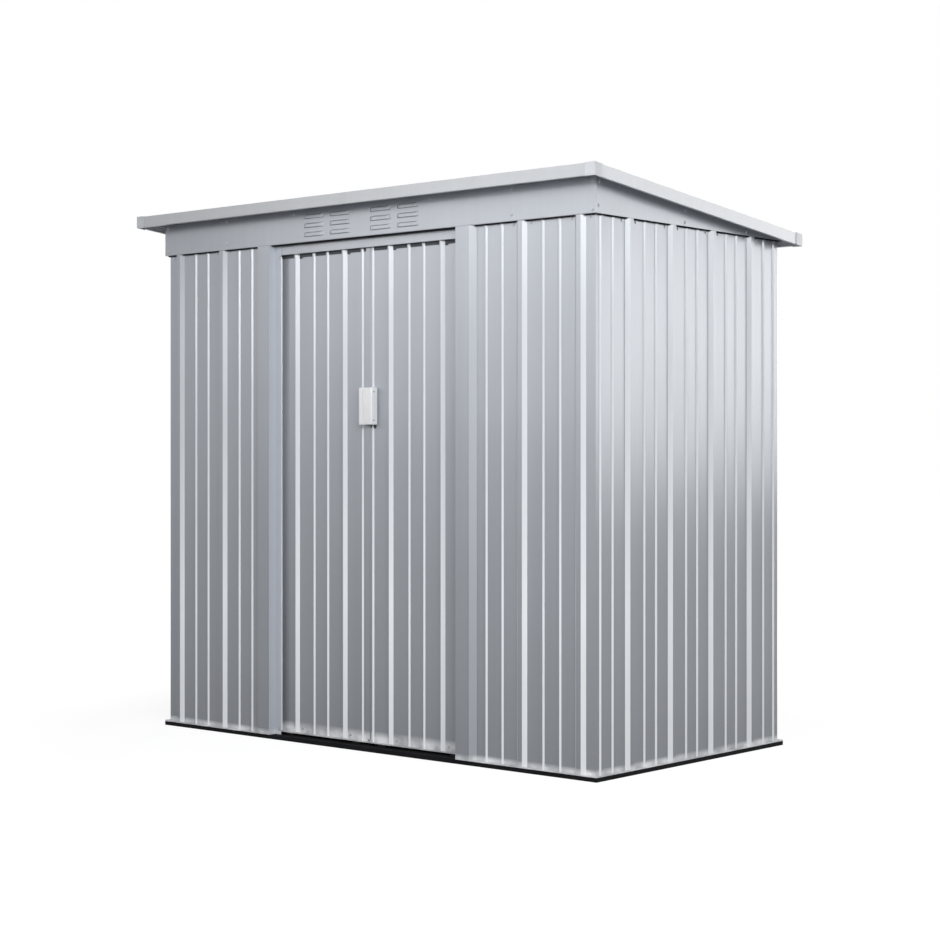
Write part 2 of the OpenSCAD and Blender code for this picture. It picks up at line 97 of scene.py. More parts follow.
def noise(tree, coords, scale, stretch=(1.0, 1.0, 1.0), detail=3.0):
    mapping = tree.nodes.new("ShaderNodeMapping")
    mapping.inputs["Scale"].default_value = stretch
    tex = tree.nodes.new("ShaderNodeTexNoise")
    tex.inputs["Scale"].default_value = scale
    tex.inputs["Detail"].default_value = detail
    tree.links.new(coords, mapping.inputs["Vector"])
    tree.links.new(mapping.outputs["Vector"], tex.inputs["Vector"])
    return tex.outputs["Fac"]


def remap(tree, value, low, high, to_low, to_high):
    node = tree.nodes.new("ShaderNodeMapRange")
    node.inputs["From Min"].default_value = low
    node.inputs["From Max"].default_value = high
    node.inputs["To Min"].default_value = to_low
    node.inputs["To Max"].default_value = to_high
    tree.links.new(value, node.inputs["Value"])
    return node.outputs["Result"]


def spread(tree, value, low, high):
    """Noise, which runs from about 0.3 to 0.7, brought to the range from low to high."""
    return remap(tree, value, 0.3, 0.7, low, high)


def math_node(tree, operation, a, b):
    """Maths on two outputs or numbers."""
    node = tree.nodes.new("ShaderNodeMath")
    node.operation = operation
    for socket, value in zip(node.inputs, (a, b)):
        if isinstance(value, float):
            socket.default_value = value
        else:
            tree.links.new(value, socket)
    return node.outputs["Value"]


def bump(tree, shader, height, distance, before=None):
    """Bump on the shader's normal, on top of an earlier one if given."""
    node = tree.nodes.new("ShaderNodeBump")
    node.inputs["Strength"].default_value = 1.0
    node.inputs["Distance"].default_value = distance
    tree.links.new(height, node.inputs["Height"])
    if before is not None:
        tree.links.new(before, node.inputs["Normal"])
    tree.links.new(node.outputs["Normal"], shader.inputs["Normal"])
    return node.outputs["Normal"]


def axes(tree, vector):
    """The X, Y and Z outputs of a vector output."""
    split = tree.nodes.new("ShaderNodeSeparateXYZ")
    tree.links.new(vector, split.inputs["Vector"])
    return split.outputs


def normals(tree):
    return axes(tree, tree.nodes.new("ShaderNodeTexCoord").outputs["Normal"])


def mix_color(tree, a, b, factor):
    """Blend of two colours, each an RGB list or a colour output."""
    mix = tree.nodes.new("ShaderNodeMix")
    mix.data_type = "RGBA"
    tree.links.new(factor, mix.inputs["Factor"])
    for socket, value in ((mix.inputs["A"], a), (mix.inputs["B"], b)):
        if isinstance(value, (list, tuple)):
            socket.default_value = list(value) + [1.0]
        else:
            tree.links.new(value, socket)
    return mix.outputs["Result"]


def shades(tree, color, low, high, factor):
    """Blend between two brightnesses of a colour."""
    return mix_color(tree, [min(1.0, c * low) for c in color], [min(1.0, c * high) for c in color], factor)


# Heights over which the painted shade of walls and doors fades from their foot, the colour of the painted glow
# at their foot, and the depth of the orange peel
SHADE_HEIGHTS = (0.05, 1.15)
FOOT_GLOW_COLOR = [0.88, 0.89, 0.91]
PEEL_DEPTH = 0.000012


def flank_highlight_mask(tree, coords):
    """Painted highlight: 0 on pans and rib tops; on the slanted rib flanks, 0.03 at the top of a wall to 1 low down."""
    normal = normals(tree)
    product = math_node(tree, "MULTIPLY", normal["X"], normal["Y"])
    slant = remap(tree, math_node(tree, "ABSOLUTE", product, 0.0), 0.2, 0.45, 0.0, 1.0)
    return math_node(tree, "MULTIPLY", slant, remap(tree, axes(tree, coords)["Z"], 0.5, 1.7, 1.0, 0.03))


def cheek_light_mask(tree, coords):
    """Painted light: 1 on the inner cheeks of the door posts and on the strips behind them, else 0."""
    cheek = remap(tree, math_node(tree, "ABSOLUTE", normals(tree)["X"], 0.0), 0.75, 0.95, 0.0, 1.0)
    strip_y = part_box("door_post_right")[1].y
    strip = remap(tree, axes(tree, coords)["Y"], strip_y - 0.006, strip_y - 0.004, 0.0, 1.0)
    return math_node(tree, "MAXIMUM", cheek, strip)


def foot_glow_mask(tree, coords, low, high):
    """Painted glow of light along the foot of a wall or door, full below one height and gone above the other."""
    fade = remap(tree, axes(tree, coords)["Z"], low, high, 1.0, 0.0)
    patches = remap(tree, noise(tree, coords, 14.0, detail=3.0), 0.35, 0.65, 0.35, 1.0)
    return math_node(tree, "MULTIPLY", fade, patches)


def painted_sheet(name, color, metallic, rough, ripple, flank_highlight=1.0, cheek=1.0, foot_shade_and_glow=None):
    """
    Roll-coated steel: faint mill streaks down the sheet, blotches in colour and gloss, slack ripples and orange peel.
    Rib flanks carry a painted highlight and post cheeks painted light, brighter than the colour by the factors given.
    Given a pair of foot heights, sheets get painted shade, darker towards the ground, and a pale painted glow at
    the foot that fades out between those heights.
    """
    mat, tree, shader, coords = new_material(name)
    blotch = noise(tree, coords, 2.6, detail=4.0)
    streak = noise(tree, coords, 30.0, stretch=(1.0, 1.0, 0.02), detail=4.0)
    both = math_node(tree, "ADD", math_node(tree, "MULTIPLY", blotch, 0.5), math_node(tree, "MULTIPLY", streak, 0.5))
    vary = spread(tree, both, 0.0, 1.0)
    paint = shades(tree, color, 0.96, 1.04, vary)
    # Painted shade: darker towards the ground, lighter towards the top
    if foot_shade_and_glow:
        dark = shades(tree, color, 0.73, 0.79, vary)
        light = shades(tree, color, 1.14, 1.22, vary)
        paint = mix_color(tree, dark, light, remap(tree, axes(tree, coords)["Z"], *SHADE_HEIGHTS, 0.0, 1.0))
    # Painted highlight on the slanted rib flanks, strongest low down
    if flank_highlight > 1.0:
        grey = sum(color) / 3
        flank_highlight_color = [flank_highlight * (0.4 * c + 0.6 * grey) for c in color]
        paint = mix_color(tree, paint, shades(tree, flank_highlight_color, 0.96, 1.04, vary), flank_highlight_mask(tree, coords))
    # Painted light on the inner cheeks of the door posts
    if cheek > 1.0:
        paint = mix_color(tree, paint, shades(tree, color, 0.96 * cheek, 1.04 * cheek, vary), cheek_light_mask(tree, coords))
    # Painted glow: a pale band at the foot, for the light thrown up from the floor
    if foot_shade_and_glow:
        paint = mix_color(tree, paint, FOOT_GLOW_COLOR, foot_glow_mask(tree, coords, *foot_shade_and_glow))
    tree.links.new(paint, shader.inputs["Base Color"])
    gloss = noise(tree, coords, 4.0, stretch=(1.0, 1.0, 0.4), detail=2.0)
    tree.links.new(spread(tree, gloss, rough - 0.014, rough + 0.014), shader.inputs["Roughness"])
    slack = noise(tree, coords, 5.0, stretch=(1.0, 1.0, 0.55), detail=0.0)
    slack_normal = bump(tree, shader, slack, ripple)
    peel = noise(tree, coords, 650.0, detail=2.0)
    bump(tree, shader, peel, PEEL_DEPTH, slack_normal)
    shader.inputs["Metallic"].default_value = metallic
    return mat


def moulded_plastic(name, color, rough, scale, grain, specular=0.5):
    """Plastic or felt with a fine grain, given by its noise scale and depth."""
    mat, tree, shader, coords = new_material(name)
    shader.inputs["Specular IOR Level"].default_value = specular
    blotch = noise(tree, coords, 14.0, detail=4.0)
    paint = shades(tree, color, 0.96, 1.04, spread(tree, blotch, 0.0, 1.0))
    tree.links.new(paint, shader.inputs["Base Color"])
    gloss = noise(tree, coords, 45.0, detail=3.0)
    tree.links.new(spread(tree, gloss, rough - 0.04, rough + 0.04), shader.inputs["Roughness"])
    bump(tree, shader, noise(tree, coords, scale, detail=3.0), grain)
    return mat


def satin_black(name, color):
    """Black coating with hardly any shine."""
    mat, tree, shader, coords = new_material(name)
    blotch = noise(tree, coords, 6.0, detail=5.0)
    paint = shades(tree, color, 0.75, 1.25, spread(tree, blotch, 0.0, 1.0))
    tree.links.new(paint, shader.inputs["Base Color"])
    gloss = noise(tree, coords, 30.0, detail=4.0)
    tree.links.new(spread(tree, gloss, 0.5, 0.65), shader.inputs["Roughness"])
    bump(tree, shader, noise(tree, coords, 900.0, detail=2.0), 0.00003)
    shader.inputs["Specular IOR Level"].default_value = 0.02
    return mat


def zinc(name, color):
    mat, tree, shader, coords = new_material(name)
    blotch = noise(tree, coords, 120.0, detail=3.0)
    paint = shades(tree, color, 0.88, 1.12, spread(tree, blotch, 0.0, 1.0))
    tree.links.new(paint, shader.inputs["Base Color"])
    tree.links.new(spread(tree, blotch, 0.35, 0.5), shader.inputs["Roughness"])
    shader.inputs["Metallic"].default_value = 0.5
    return mat


# Heights between which the painted glow at the foot of the walls and doors fades out
WALL_GLOW_HEIGHTS = (0.024, 0.037)
DOOR_GLOW_HEIGHTS = (0.042, 0.066)
# Paints of the silver grey sheets and the light grey trims
SILVER = {"metallic": 0.08, "rough": 0.25}
LIGHT = {"metallic": 0.05, "rough": 0.33, "ripple": 0.0003}
# Brightness against their colours: painted highlight on the rib flanks, painted light on the cheeks of the door posts
# and painted shade on the front trim
FLANK_HIGHLIGHT_GAIN = 2.4
CHEEK_LIGHT_GAIN = 1.65
FRONT_TRIM_SHADE = 0.81

MATERIALS = {
    "sheet": painted_sheet("sheet_paint", COLORS["sheet"], ripple=0.0012, flank_highlight=FLANK_HIGHLIGHT_GAIN, foot_shade_and_glow=WALL_GLOW_HEIGHTS, **SILVER),
    "frame": painted_sheet("frame_paint", COLORS["frame"], ripple=0.0004, foot_shade_and_glow=WALL_GLOW_HEIGHTS, **SILVER),
    "trim": painted_sheet("trim_paint", COLORS["trim"], **LIGHT),
    "base": satin_black("base_paint", COLORS["base"]),
    "cap": moulded_plastic("cap_plastic", COLORS["cap"], rough=0.38, scale=500.0, grain=0.00003),
    "glide": moulded_plastic("glide_nylon", COLORS["glide"], rough=0.5, scale=400.0, grain=0.00002),
    "handle": moulded_plastic("handle_plastic", COLORS["handle"], rough=0.36, scale=420.0, grain=0.00002, specular=1.0),
}
DOOR = painted_sheet("door_paint", COLORS["sheet"], ripple=0.0012, flank_highlight=FLANK_HIGHLIGHT_GAIN, foot_shade_and_glow=DOOR_GLOW_HEIGHTS, **SILVER)
# The front trim with painted shade, darker than the other trims
FRONT_TRIM_SHADED = painted_sheet("front_trim_painted_shade", [c * FRONT_TRIM_SHADE for c in COLORS["trim"]], **LIGHT)
# The door posts with painted light on their cheeks
POST_LIT_CHEEKS = painted_sheet("post_paint_lit_cheeks", COLORS["sheet"], ripple=0.0006, cheek=CHEEK_LIGHT_GAIN, foot_shade_and_glow=WALL_GLOW_HEIGHTS, **SILVER)
OWN_MATERIALS = {
    "door_right_panel": DOOR, "door_left_panel": DOOR, "door_post_right": POST_LIT_CHEEKS, "door_post_left": POST_LIT_CHEEKS,
    "roof_trim_front": FRONT_TRIM_SHADED,
}
ZINC = zinc("screw_zinc", (0.42, 0.43, 0.45))
# Dark felt standing in for the shadow under the header at the top of the doors
DOOR_SHADE_FELT = moulded_plastic("door_top_shade_felt", (0.075, 0.08, 0.09), rough=0.8, scale=1500.0, grain=0.00015)
# Black standing in for the shade in the troughs under the vent panel and gables
TROUGH_SHADE_BLACK = satin_black("panel_trough_shade", (0.012, 0.012, 0.014))


# ---------------------------------------------------------------- pieces

def mesh_piece(name, bm, body, material, smooth_deg=40):
    """Object made from the mesh, smooth except along edges sharper than the angle."""
    mesh = bpy.data.meshes.new(name)
    bm.normal_update()
    bm.to_mesh(mesh)
    bm.free()
    piece = bpy.data.objects.new(name, mesh)
    bpy.context.scene.collection.objects.link(piece)
    mesh.materials.append(material)
    mesh.shade_smooth()
    mesh.set_sharp_from_angle(angle=math.radians(smooth_deg))
    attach(piece, body)
    return piece


def lathe_ring(bm, place, radius, height, sides):
    angles = [2 * math.pi * k / sides for k in range(sides)]
    return [bm.verts.new(place @ Vector((radius * math.cos(t), radius * math.sin(t), height))) for t in angles]


def add_screw(bm, point, normal):
    """Hex washer-head screw whose washer lies on the sheet at point: rubber, flange, head with chamfer and dimple."""
    place = Matrix.Translation(point) @ Vector(normal).to_track_quat("Z", "Y").to_matrix().to_4x4()
    rings = [
        lathe_ring(bm, place, r, h, 24) for r, h in
        ((0.0060, 0.0), (0.0060, 0.0008), (0.0056, 0.0010), (0.0050, 0.0011))
    ]
    hexes = [
        lathe_ring(bm, place, r, h, 6) for r, h in
        ((0.0042, 0.0011), (0.0042, 0.0031), (0.0037, 0.0035), (0.0020, 0.0035), (0.0012, 0.0029))
    ]
    for chain, sides in ((rings, 24), (hexes, 6)):
        for low, high in zip(chain, chain[1:]):
            for k in range(sides):
                bm.faces.new((low[k], low[(k + 1) % sides], high[(k + 1) % sides], high[k]))
        bm.faces.new(chain[-1])


def screws(name, body, points):
    """One mesh of screws at the (point, outward normal) pairs."""
    bm = bmesh.new()
    for point, normal in points:
        add_screw(bm, Vector(point), normal)
    return mesh_piece(name, bm, body, ZINC, smooth_deg=35)


def wall_screws():
    """Screws beside the ribs along the tops of the walls, along the foot of the back and down its corners."""
    points = []
    z = WALL_TOP - 0.009
    for rib in FRONT_RIBS:
        for side in (-1, 1):
            for step in (-SCREW_STEP, SCREW_STEP):
                points.append(((side * (rib + step), FRONT_Y, z), (0, -1, 0)))
    for rib in SIDE_RIBS:
        for side in (-1, 1):
            for step in (-SCREW_STEP, SCREW_STEP):
                for wall in (-1, 1):
                    points.append(((wall * SIDE_X, side * rib + step, z), (wall, 0, 0)))
    back_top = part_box("wall_back")[1].z - 0.014
    for k in range(4):
        for z in (back_top, 0.036):
            for side in (-1, 1):
                points.append(((side * (PITCH * (k + 0.5) + SCREW_STEP), BACK_Y, z), (0, 1, 0)))
    for side in (-1, 1):
        for z in (0.45, 0.95, 1.45):
            points.append(((side * (SIDE_X - 0.016), BACK_Y, z), (0, 1, 0)))
    return points


def panel_screws():
    points = []
    for side in (-1, 1):
        for x, z in ((0.668, 0.1017), (0.668, 0.0207), (0.32, 0.1017), (0.99, 0.012), (0.99, 0.100)):
            points.append(((side * x, PANEL_Y, WALL_TOP + z), (0, -1, 0)))
        for y, z in ((-0.517, 0.024), (-0.517, 0.0975), (-0.058, 0.0535), (-0.058, 0.0108), (0.30, 0.012)):
            points.append(((side * PANEL_X, y, WALL_TOP + z), (side, 0, 0)))
    return points


def strip_screws():
    """One screw at each end of the strips beside the doorway."""
    strip_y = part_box("door_post_right")[1].y - 0.0012
    points = []
    for side in (-1, 1):
        for z in (0.035, 1.698):
            points.append(((side * 0.4175, strip_y, z), (0, -1, 0)))
    return points


def roof_screws():
    """Three rows across the roof beside its ribs, which lie a drop below the top of the front trim."""
    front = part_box("roof_trim_front")
    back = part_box("roof_trim_back")
    slope = (front[1].z - back[1].z) / (back[1].y - front[0].y)
    top = front[1].z
    drop = 0.0188
    points = []
    normal = Vector((0, slope, 1)).normalized()
    for y in (front[0].y + 0.036, -0.008, back[1].y - 0.034):
        z = top - slope * (y - front[0].y) - drop
        for k in range(-4, 5):
            for step in (-SCREW_STEP, SCREW_STEP):
                x = PITCH * k + step
                if abs(x) < 0.98:
                    points.append(((x, y, z), normal))
    return points


def door_screws(node, ribs):
    """One screw to the right of each wide rib, in the bottom rail."""
    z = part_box(node)[0].z + 0.0165
    return [((rib + 0.026, DOOR_Y, z), (0, -1, 0)) for rib in ribs]


def add_strip(bm, low, high, radius=0.0006):
    """Bar between two corners with its long edges rounded."""
    made = bmesh.ops.create_cube(bm, size=1.0)
    size = Vector(high) - Vector(low)
    middle = (Vector(high) + Vector(low)) / 2
    for v in made["verts"]:
        v.co = Vector((v.co.x * size.x, v.co.y * size.y, v.co.z * size.z)) + middle
    edges = list({e for v in made["verts"] for e in v.link_edges})
    bmesh.ops.bevel(bm, geom=edges, offset=min(radius, min(size) * 0.4), segments=3, affect="EDGES", profile=0.5)


def spans(low, high, blocked):
    """Runs from low to high that keep clear of the blocked (middle, half width) places."""
    edges = [low]
    for middle, half in sorted(blocked):
        edges += [middle - half, middle + half]
    edges.append(high)
    return [(a, b) for a, b in zip(edges[::2], edges[1::2]) if b - a > 0.004]


def panel_shade_strips():
    """Black strips that close the troughs between ribs under the vent panel and gables, standing in for the shade."""
    bm = bmesh.new()
    top = WALL_TOP - 0.0002
    foot = top - 0.0032
    rib_half = 0.0225
    front = PANEL_Y + 0.0022
    low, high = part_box("door_post_right")
    post_x, post_half = (low.x + POST_STRIP + high.x) / 2, (high.x - low.x - POST_STRIP) / 2 + 0.0006
    blocked = [(side * rib, rib_half) for rib in FRONT_RIBS for side in (-1, 1)]
    blocked += [(side * post_x, post_half) for side in (-1, 1)]
    for a, b in spans(-SIDE_X, SIDE_X, blocked):
        over_doorway = abs(a + b) < 0.02
        add_strip(bm, (a, front, foot), (b, FRONT_Y + (0.0112 if over_doorway else -0.0002), top))
    blocked = [(side * rib, rib_half) for rib in SIDE_RIBS for side in (-1, 1)]
    for a, b in spans(FRONT_Y + 0.002, BACK_Y - 0.002, blocked):
        for side in (-1, 1):
            x0, x1 = sorted((side * (SIDE_X + 0.0002), side * (PANEL_X - 0.0022)))
            add_strip(bm, (x0, a, foot), (x1, b, top))
    mesh_piece("shade_strips_panels", bm, "shed", TROUGH_SHADE_BLACK)


def door_shade_strips(name, body, ribs, low, high):
    """Dark strips across the pans at a door's top, deeper beside each wide rib, standing in for the header's shadow."""
    bm = bmesh.new()
    front, back = DOOR_Y - 0.0018, DOOR_Y - 0.0001
    blocked = [(rib, 0.0135) for rib in ribs]
    blocked += [(rib + side * NARROW_STEP, 0.008) for rib in ribs for side in (-1, 1)]
    for a, b in spans(low, high, blocked):
        add_strip(bm, (a, front, HEADER_FOOT - 0.0120), (b, back, HEADER_FOOT))
    for rib in ribs:
        add_strip(bm, (rib + 0.0136, front, HEADER_FOOT - 0.0165), (rib + 0.0270, back, HEADER_FOOT - 0.0119))
    mesh_piece(name, bm, body, DOOR_SHADE_FELT)


def meeting_seal():
    """Soft lip on the right door that meets the edge strip of the left door."""
    bm = bmesh.new()
    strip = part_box("door_left_panel")[1].x
    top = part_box("door_right_panel")[1].z
    add_strip(bm, (strip + 0.0005, DOOR_Y - 0.0054, 0.0355), (strip + 0.0050, DOOR_Y - 0.0012, top - 0.001), 0.0008)
    mesh_piece("seal_meeting", bm, "right_door", MATERIALS["frame"])


# Faces of the vent panel larger than this, in square metres, are its flat parts
FLAT_AREA = 0.00005


def vent_panel():
    """Panel over the front: one sheet with twelve pressed louvres, open at their lower edges, folded in at its foot."""
    low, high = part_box("vent_panel")
    z0, z1 = low.z, high.z
    half_w, half_h = 0.048, 0.0085
    columns = [-0.221, -0.0955, 0.0955, 0.221]
    rows = [z0 + 0.025 + 0.031 * k for k in range(3)]
    fold, turns = 0.0022, 6
    # Each louvre is a grid of nx by nz faces, with its opening under row sill and a cut in column slit
    nx, nz, sill, slit = 64, 16, 2, 1
    bm = bmesh.new()
    known = {}

    def vert(x, y, z):
        key = (round(x, 6), round(y, 6), round(z, 6))
        if key not in known:
            known[key] = bm.verts.new((x, y, z))
        return known[key]

    def louvre(x0, x1, za, zb):
        cx, cz = (x0 + x1) / 2, (za + zb) / 2
        gx = [x0 + (x1 - x0) * k / nx for k in range(nx + 1)]
        gz = [za + (zb - za) * k / nz for k in range(nz + 1)]

        def hood(i, j):
            return vert(gx[i], PANEL_Y - hood_depth(gx[i] - cx, gz[j] - cz, half_w, half_h), gz[j])

        def flat(i, j):
            return vert(gx[i], PANEL_Y, gz[j])

        for i in range(nx):
            for j in range(nz):
                if i == slit and sill < j < nz - 3:
                    continue
                at = hood if j >= sill else flat
                bm.faces.new((at(i, j), at(i + 1, j), at(i + 1, j + 1), at(i, j + 1)))

    xs = sorted([low.x, high.x] + [c + s * half_w for c in columns for s in (-1, 1)])
    zs = sorted([z0 + fold, z1] + [r + s * half_h for r in rows for s in (-1, 1)])
    for a, (x0, x1) in enumerate(zip(xs, xs[1:])):
        for b, (za, zb) in enumerate(zip(zs, zs[1:])):
            if a % 2 == 1 and b % 2 == 1:
                louvre(x0, x1, za, zb)
            else:
                corners = ((x0, za), (x1, za), (x1, zb), (x0, zb))
                bm.faces.new([vert(x, PANEL_Y, z) for x, z in corners])
    angles = [math.pi / 2 * k / turns for k in range(turns + 1)]
    line = [(PANEL_Y + fold * (1 - math.cos(t)), z0 + fold * (1 - math.sin(t))) for t in angles]
    line.append((PANEL_Y + 0.04, z0))
    x0, x1 = low.x + SHEET, high.x - SHEET
    for (ya, za), (yb, zb) in zip(line, line[1:]):
        bm.faces.new((vert(x0, ya, za), vert(x0, yb, zb), vert(x1, yb, zb), vert(x1, ya, za)))
    bmesh.ops.recalc_face_normals(bm, faces=bm.faces)
    bm.normal_update()
    front = max(bm.faces, key=lambda f: f.calc_area())
    if front.normal.y > 0:
        bmesh.ops.reverse_faces(bm, faces=bm.faces)
    piece = mesh_piece("vent_panel_pressed", bm, "shed", MATERIALS["sheet"], smooth_deg=32)
    for polygon in piece.data.polygons:
        if polygon.area > FLAT_AREA:
            polygon.use_smooth = False
    solid = piece.modifiers.new("thickness", "SOLIDIFY")
    solid.thickness = 0.0008
    solid.offset = -1.0
    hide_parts("vent_panel")


def hood_depth(x, z, half_w, half_h, out=0.0043, corner=0.0080, rise=0.0048, ramp=0.0150):
    """How far a louvre stands out at x, z from its middle: steep at its top and left end, a long ramp to the right."""
    left = half_w - 0.0042 + x
    up = half_h - 0.0006 - z
    if left < 0.0:
        return 0.0
    if left < corner and up < corner:
        edge = corner - math.hypot(corner - left, corner - up)
    else:
        edge = min(left, up)
    steep = min(max(edge / rise, 0.0), 1.0)
    gentle = min(max((half_w - 0.0006 - x) / ramp, 0.0), 1.0)
    return out * min(math.sqrt(1.0 - (1.0 - steep) ** 2), gentle * (2.0 - gentle))


def rounded(corners, steps=6):
    """Outline through corners given as (x, y, radius)."""
    points = []
    n = len(corners)
    for k in range(n):
        x, y, r = corners[k]
        here = Vector((x, y))
        before = (Vector(corners[k - 1][:2]) - here).normalized()
        after = (Vector(corners[(k + 1) % n][:2]) - here).normalized()
        for t in range(steps + 1):
            a = t / steps
            curve = before * (1 - a) ** 2 + after * a ** 2
            points.append(here + curve * r)
    return points


def handle_half(name, body, node, corners):
    """Moulded grip: rounded edges, a domed upper end and a hollow that opens downwards."""
    low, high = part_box(node)
    outline = rounded(corners)
    cx, cy = (low.x + high.x) / 2, (low.y + high.y) / 2
    width, depth = high.x - low.x, high.y - low.y
    crown = 0.0035
    levels = [(low.z, 0.0006), (low.z + 0.0006, 0.0002), (low.z + 0.0014, 0.0)]
    levels += [(low.z + (high.z - low.z - crown) * k / 6, 0.0) for k in range(1, 7)]
    levels += [(high.z - crown + crown * math.sin(math.pi / 2 * k / 6), crown * (1 - math.cos(math.pi / 2 * k / 6)))
               for k in range(1, 7)]
    bm = bmesh.new()
    rings = [
        [bm.verts.new((cx + (p.x - cx) * (1 - 2 * inset / width), cy + (p.y - cy) * (1 - 2 * inset / depth), z))
         for p in outline]
        for z, inset in levels
    ]
    n = len(outline)
    for a, b in zip(rings, rings[1:]):
        for k in range(n):
            bm.faces.new((a[k], a[(k + 1) % n], b[(k + 1) % n], b[k]))
    bm.faces.new(rings[-1])
    bmesh.ops.remove_doubles(bm, verts=bm.verts, dist=0.00002)
    bmesh.ops.recalc_face_normals(bm, faces=bm.faces)
    lid = max(bm.faces, key=lambda f: f.calc_center_median().z)
    if lid.normal.z < 0:
        bmesh.ops.reverse_faces(bm, faces=bm.faces)
    piece = mesh_piece(name, bm, body, MATERIALS["handle"])
    solid = piece.modifiers.new("wall", "SOLIDIFY")
    solid.thickness = 0.0026
    solid.offset = -1.0
    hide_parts(node)
    return piece


def handles():
    low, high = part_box("door_right_handle")
    step_x, step_y = low.x + 0.01275, high.y - 0.0062
    groove = low.y + 0.0105
    handle_half("handle_right", "right_door", "door_right_handle", [
        (low.x, low.y, 0.0015), (high.x, low.y, 0.0055),
        (high.x, groove - 0.0009, 0.0002), (high.x - 0.0009, groove - 0.0005, 0.0001),
        (high.x - 0.0009, groove + 0.0005, 0.0001), (high.x, groove + 0.0009, 0.0002),
        (high.x, high.y, 0.0012), (step_x, high.y, 0.0006), (step_x, step_y, 0.0006), (low.x, step_y, 0.0012)])
    low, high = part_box("door_left_handle")
    handle_half("handle_left", "left_door", "door_left_handle", [
        (low.x, low.y, 0.0050), (high.x, low.y, 0.0015), (high.x, high.y, 0.0012), (low.x, high.y, 0.0012)])


def handle_details():
    """Clip ends on the side of the right half, and dark pads below it standing in for the handle's shadow."""
    low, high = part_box("door_right_handle")
    x0, x1 = high.x - 0.0006, high.x + 0.0003
    bm = bmesh.new()
    for z in (low.z + 0.0145, high.z - 0.0150):
        add_strip(bm, (x0, low.y + 0.0075, z - 0.0018), (x1, low.y + 0.0150, z + 0.0018), 0.0003)
    mesh_piece("handle_clips", bm, "right_door", MATERIALS["frame"])
    # Dark pads under the handle standing in for its shadow
    bm = bmesh.new()
    add_strip(bm, (0.0266, DOOR_Y - 0.0040, low.z - 0.0125), (0.0345, DOOR_Y - 0.0002, low.z + 0.0020), 0.0012)
    add_strip(bm, (0.0156, DOOR_Y - 0.0065, low.z - 0.0100), (0.0204, DOOR_Y - 0.0052, low.z - 0.0004), 0.0004)
    mesh_piece("handle_shadow_pads", bm, "right_door", MATERIALS["glide"])


def soften(node, width, segments=2):
    """Small radius along the folds and edges of a CAD solid."""
    thing = NODES[node]
    weld = thing.modifiers.new("weld", "WELD")
    weld.merge_threshold = 0.00001
    edge = thing.modifiers.new("edges", "BEVEL")
    edge.width = width
    edge.segments = segments
    edge.limit_method = "ANGLE"
    edge.angle_limit = math.radians(25)


# ---------------------------------------------------------------- camera, lamps, floor

def make_camera():
    data = bpy.data.cameras.new("camera")
    data.lens = LENS
    data.sensor_width = 36.0
    data.shift_y = SHIFT_Y
    camera = bpy.data.objects.new("camera", data)
    camera.location = EYE
    camera.rotation_euler = (math.pi / 2, 0.0, HEADING)
    bpy.context.collection.objects.link(camera)
    bpy.context.scene.camera = camera


# Each lamp: name, azimuth from +X towards the front, elevation, distance, width, height, share of plain exposure
LAMPS = [
    ("flank_softbox", 37, 2, 7.0, 3.4, 2.0, 0.043),
    ("flank_high", 37, 16, 7.0, 3.4, 1.0, 0.325),
    ("left_low", 113, 9, 6.0, 5.0, 0.7, 0.050),
    ("left_mid", 113, 15, 6.0, 5.0, 0.8, 0.030),
    ("left_high", 113, 20, 6.0, 5.0, 1.4, 0.145),
    ("right_low", -55, 3, 6.0, 5.0, 0.7, 0.112),
    ("right_mid", -55, 10, 6.0, 5.0, 0.8, 0.160),
    ("right_high", -55, 20, 6.0, 5.0, 1.4, 0.141),
    ("near_right", 58, 18, 3.0, 0.8, 0.8, 0.100),
    ("near_high", 58, 38, 3.0, 0.8, 0.8, 0.103),
    ("overhead", 40, 80, 5.0, 3.0, 3.0, 0.10),
    ("back_fill", -115, 25, 6.0, 2.5, 2.0, 0.12),
]
AMBIENT = 0.10
AIM = Vector((0.0, 0.0, 0.9))


def make_lamps():
    """Soft boxes that face the middle of the shed; each gives its share of the light at which a colour is plain."""
    for name, azimuth, elevation, distance, width, height, share in LAMPS:
        a, e = math.radians(azimuth), math.radians(elevation)
        away = Vector((math.cos(e) * math.cos(a), -math.cos(e) * math.sin(a), math.sin(e)))
        data = bpy.data.lights.new(name, "AREA")
        data.shape = "RECTANGLE"
        data.size = width
        data.size_y = height
        data.energy = math.pi ** 2 * distance ** 2 * share
        lamp = bpy.data.objects.new(name, data)
        lamp.location = AIM + away * distance
        lamp.rotation_euler = away.to_track_quat("Z", "Y").to_euler()
        lamp.visible_camera = False
        bpy.context.collection.objects.link(lamp)


def seen_directly(tree):
    """1 for rays from the camera, reflections and what is seen through glass, else 0."""
    path = tree.nodes.new("ShaderNodeLightPath")
    first = math_node(tree, "MAXIMUM", path.outputs["Is Camera Ray"], path.outputs["Is Glossy Ray"])
    return math_node(tree, "MAXIMUM", first, path.outputs["Is Transmission Ray"])


def make_world():
    """White where it is seen, and a weak fill light on the shed."""
    world = bpy.data.worlds.new("world")
    bpy.context.scene.world = world
    world.use_nodes = True
    tree = world.node_tree
    back = tree.nodes["Background"]
    back.inputs["Color"].default_value = (1.0, 1.0, 1.0, 1.0)
    strength = remap(tree, seen_directly(tree), 0.0, 1.0, AMBIENT, 1.0)
    tree.links.new(strength, back.inputs["Strength"])


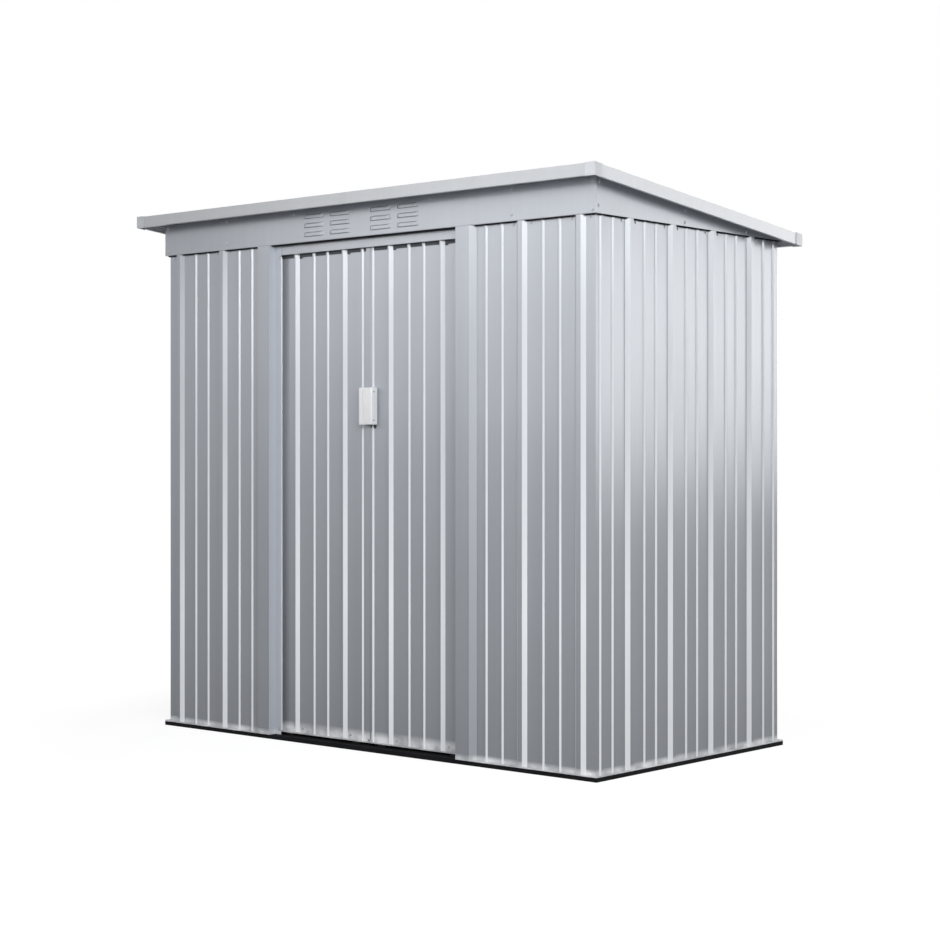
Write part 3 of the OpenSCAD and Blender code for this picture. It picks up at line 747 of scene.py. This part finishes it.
def make_floor():
    """Pale floor that reads as white, a little darker near the shed, and takes the shed's shadow."""
    grey, half_side = 0.24, 40.0
    near, far, near_level = 1.4, 3.0, 0.86
    bm = bmesh.new()
    bmesh.ops.create_grid(bm, x_segments=8, y_segments=8, size=half_side)
    mesh = bpy.data.meshes.new("floor")
    bm.to_mesh(mesh)
    bm.free()
    floor = bpy.data.objects.new("floor", mesh)
    bpy.context.scene.collection.objects.link(floor)
    mat = bpy.data.materials.new("floor_pale")
    mat.use_nodes = True
    tree = mat.node_tree
    tree.nodes.clear()
    out = tree.nodes.new("ShaderNodeOutputMaterial")
    diffuse = tree.nodes.new("ShaderNodeBsdfDiffuse")
    diffuse.inputs["Color"].default_value = (grey, grey, grey, 1.0)
    glow = tree.nodes.new("ShaderNodeEmission")
    total = tree.nodes.new("ShaderNodeAddShader")
    coords = tree.nodes.new("ShaderNodeTexCoord").outputs["Object"]
    length = tree.nodes.new("ShaderNodeVectorMath")
    length.operation = "LENGTH"
    tree.links.new(coords, length.inputs[0])
    fade = remap(tree, length.outputs["Value"], near, far, near_level, 1.0)
    tree.links.new(math_node(tree, "MULTIPLY", seen_directly(tree), fade), glow.inputs["Strength"])
    tree.links.new(diffuse.outputs["BSDF"], total.inputs[0])
    tree.links.new(glow.outputs["Emission"], total.inputs[1])
    tree.links.new(total.outputs["Shader"], out.inputs["Surface"])
    mesh.materials.append(mat)


# ---------------------------------------------------------------- assembly

for node, thing in NODES.items():
    thing.data.materials.clear()
    thing.data.materials.append(OWN_MATERIALS.get(node, MATERIALS[SLOTS[node]]))

screws("screws_walls", "shed", wall_screws())
screws("screws_panels", "shed", panel_screws())
screws("screws_posts", "shed", strip_screws())
screws("screws_roof", "shed", roof_screws())
screws("screws_right_door", "right_door", door_screws("door_right_panel", RIGHT_DOOR_RIBS))
screws("screws_left_door", "left_door", door_screws("door_left_panel", LEFT_DOOR_RIBS))

vent_panel()
handles()
handle_details()
panel_shade_strips()
door_shade_strips("shade_strips_right_door", "right_door", RIGHT_DOOR_RIBS, 0.027, DOOR_EDGE - 0.002)
door_shade_strips("shade_strips_left_door", "left_door", LEFT_DOOR_RIBS, 0.002 - DOOR_EDGE, -0.009)
meeting_seal()

for side in ("front", "back", "left", "right"):
    soften(f"roof_trim_{side}", 0.00035)
    soften(f"base_{side}_rail", 0.0005)
for side in ("left", "right"):
    soften(f"door_post_{side}", 0.00035)
soften("roof_corner_caps", 0.0005)

make_camera()
make_world()
make_lamps()
make_floor()
bpy.context.scene.view_settings.view_transform = "Standard"
